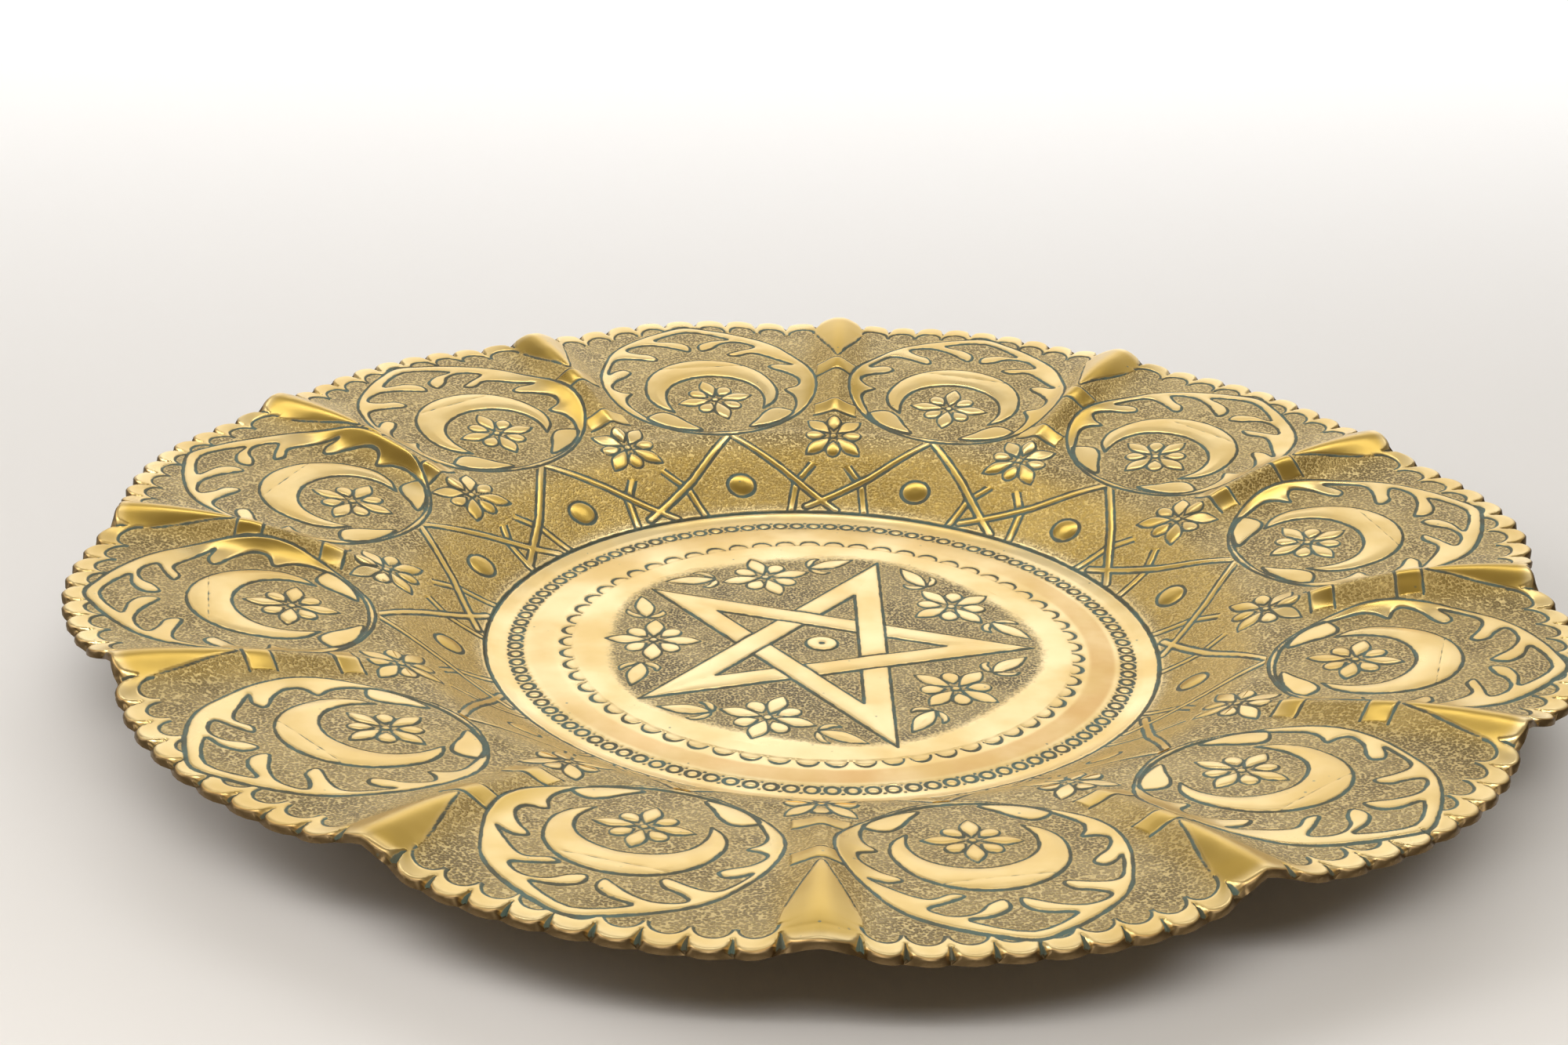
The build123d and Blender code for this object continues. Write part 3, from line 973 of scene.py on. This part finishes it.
class MakeLobes(bpy.types.Operator):
    """Makes the border's twelve lobes out to the filed edge"""
    bl_idname = "tray.make_lobes"
    bl_label = "Lobes"

    def execute(self, context):
        for lobe in range(LOBE_COUNT):
            first = RIDGE_ANGLES[lobe]
            second = RIDGE_ANGLES[(lobe + 1) % LOBE_COUNT]
            second += 360 if second < first else 0

            def plan(u, v, depth=NOTCH_DEPTH):
                angle = first + (second - first) * u
                crown, notch = crown_radius(np.clip(angle, first + 1e-7, second - 1e-7))
                edge = LIP_RADIUS + (crown - LIP_RADIUS) * v
                return turned(edge - depth * notch ** NOTCH_POWER * v ** NOTCH_FADE, angle)

            def under_plan(u, v):
                return plan(u, v, SCALLOP_DEPTH * UNDER_NOTCH)
            make_patch(f"lobe_{lobe + 1:02d}", plan, under_plan, finest(LOBE_SPAN[0]),
                       finest(LOBE_SPAN[1]), chase_border)
        return {"FINISHED"}


class MakeStage(bpy.types.Operator):
    """Sets out the floor, the backdrop, the lights and the camera"""
    bl_idname = "tray.make_stage"
    bl_label = "Stage"

    def execute(self, context):
        stage = context.scene.tray_stage
        make_floor(stage)
        lamp("light_behind", (0.15, 1.55, 0.95), (0.0, 0.05, 0.0), (2.4, 1.0), 2.4, (1.0, 0.98, 0.95))
        lamp("light_backdrop", (0.0, 0.9, 1.7), (0.0, 2.0, 0.1), (2.4, 0.6), 32.5, (0.98, 0.99, 1.0),
             spread=radians(148))
        lamp("light_left", (-1.5, 0.0, 1.0), (0.0, 0.0, 0.0), (0.8, 0.8), 8.0, (1.0, 0.98, 0.96))
        lamp("light_front", (0.0, -1.0, 1.5), (0.0, -0.1, 0.0), (1.6, 0.5), 5.0, (1.0, 0.95, 0.87))
        lamp("light_floor", (0.0, -1.0, 1.1), (0.0, -0.8, 0.0), (1.8, 0.4), 8.0, (1.0, 0.98, 0.95),
             spread=radians(75))
        world = bpy.data.worlds.new("studio")
        world.use_nodes = True
        ground = world.node_tree.nodes["Background"]
        ground.inputs["Color"].default_value = (1.0, 0.87, 0.64, 1)
        ground.inputs["Strength"].default_value = 0.21
        context.scene.world = world
        context.scene.view_settings.view_transform = "Standard"
        make_camera(context.scene, stage)
        return {"FINISHED"}


def make_floor(stage):
    """A plain floor that sweeps up into a backdrop."""
    bpy.ops.object.select_all(action="DESELECT")
    bpy.ops.mesh.primitive_grid_add(x_subdivisions=4, y_subdivisions=120, size=2)
    floor = bpy.context.object
    floor.name = "floor"
    half_width, half_length, front = 8.0, 6.0, -8.0
    sweep_start, sweep = 1.9, 0.5            # where the floor turns up, and the radius it turns on
    for vertex in floor.data.vertices:
        run = (vertex.co.y + 1) * half_length + front
        past = max(run - sweep_start, 0)
        turn = min(past / sweep, pi / 2)
        rise = sweep * (1 - cos(turn)) + max(past - sweep * pi / 2, 0)
        vertex.co = (vertex.co.x * half_width, min(run, sweep_start) + sweep * sin(turn), rise)
    floor.data.update()
    bpy.ops.object.shade_smooth()
    paint = bpy.data.materials.new("floor_paint")
    paint.use_nodes = True
    nodes, links = paint.node_tree.nodes, paint.node_tree.links
    shader = nodes["Principled BSDF"]
    shader.inputs["Roughness"].default_value = 0.65
    shader.inputs["Specular IOR Level"].default_value = 0.2
    place = nodes.new("ShaderNodeTexCoord")
    split = nodes.new("ShaderNodeSeparateXYZ")
    span = nodes.new("ShaderNodeMapRange")
    # painted light: the floor and backdrop are painted paler and cooler towards the back
    painted_backdrop_light = nodes.new("ShaderNodeMix")
    painted_backdrop_light.data_type = "RGBA"
    span.inputs["From Min"].default_value = -0.3
    span.inputs["From Max"].default_value = 1.6
    links.new(place.outputs["Object"], split.inputs[0])
    links.new(split.outputs["Y"], span.inputs["Value"])
    links.new(span.outputs["Result"], painted_backdrop_light.inputs["Factor"])
    painted_backdrop_light.inputs["A"].default_value = (*stage.floor_colour[:], 1)
    painted_backdrop_light.inputs["B"].default_value = (0.93, 0.94, 0.965, 1)
    links.new(next(s for s in painted_backdrop_light.outputs if s.enabled), shader.inputs["Base Color"])
    floor.data.materials.append(paint)


def lamp(name, place, aim, size, power, colour, spread=pi):
    """A soft square light at a place, aimed at a point."""
    light = bpy.data.lights.new(name, "AREA")
    light.shape = "RECTANGLE"
    light.size, light.size_y = size
    light.energy = power
    light.color = colour
    light.spread = spread
    holder = bpy.data.objects.new(name, light)
    bpy.context.scene.collection.objects.link(holder)
    direction = Vector(aim) - Vector(place)
    turn = direction.to_track_quat("-Z", "Y").to_matrix().to_4x4()
    holder.matrix_world = Matrix.Translation(place) @ turn


def make_camera(scene, stage):
    """A camera that looks down at the tray from the front."""
    back = Vector((0, -cos(stage.elevation), sin(stage.elevation)))
    right = (-back).cross(Vector((0, 0, 1))).normalized()
    up = right.cross(-back)
    across = right * cos(stage.roll) + up * sin(stage.roll)
    rising = up * cos(stage.roll) - right * sin(stage.roll)
    lens = bpy.data.cameras.new("camera")
    lens.lens = stage.lens
    lens.sensor_width = 36
    camera = bpy.data.objects.new("camera", lens)
    scene.collection.objects.link(camera)
    turn = Matrix((across, rising, back)).transposed().to_4x4()
    camera.matrix_world = Matrix.Translation(Vector(stage.target) + back * stage.distance) @ turn
    scene.camera = camera


class TrayPanel(bpy.types.Panel):
    """Lists the tray's sizes, colours and pieces"""
    bl_idname = "VIEW3D_PT_chased_tray"
    bl_label = "Chased brass tray"
    bl_space_type = "VIEW_3D"
    bl_region_type = "UI"
    bl_category = "Tray"

    def draw(self, context):
        scene = context.scene
        for group in (scene.tray_shape, scene.tray_finish, scene.tray_stage):
            box = self.layout.box()
            for name in group.__annotations__:
                box.prop(group, name)
        for operator in OPERATORS:
            self.layout.operator(operator.bl_idname)


OPERATORS = (MakeMiddle, MakeRim, MakeWall, MakeLobes, MakeStage)
GROUPS = {"tray_shape": TrayShape, "tray_finish": TrayFinish, "tray_stage": TrayStage}


def register():
    for made in (*GROUPS.values(), *OPERATORS, TrayPanel):
        bpy.utils.register_class(made)
    for name, group in GROUPS.items():
        setattr(bpy.types.Scene, name, PointerProperty(type=group))


def unregister():
    for name in GROUPS:
        delattr(bpy.types.Scene, name)
    for made in reversed((*GROUPS.values(), *OPERATORS, TrayPanel)):
        bpy.utils.unregister_class(made)


def main():
    register()
    bpy.ops.tray.make_middle()
    bpy.ops.tray.make_rim()
    bpy.ops.tray.make_wall()
    bpy.ops.tray.make_lobes()
    bpy.ops.tray.make_stage()


if __name__ == "__main__":
    main()
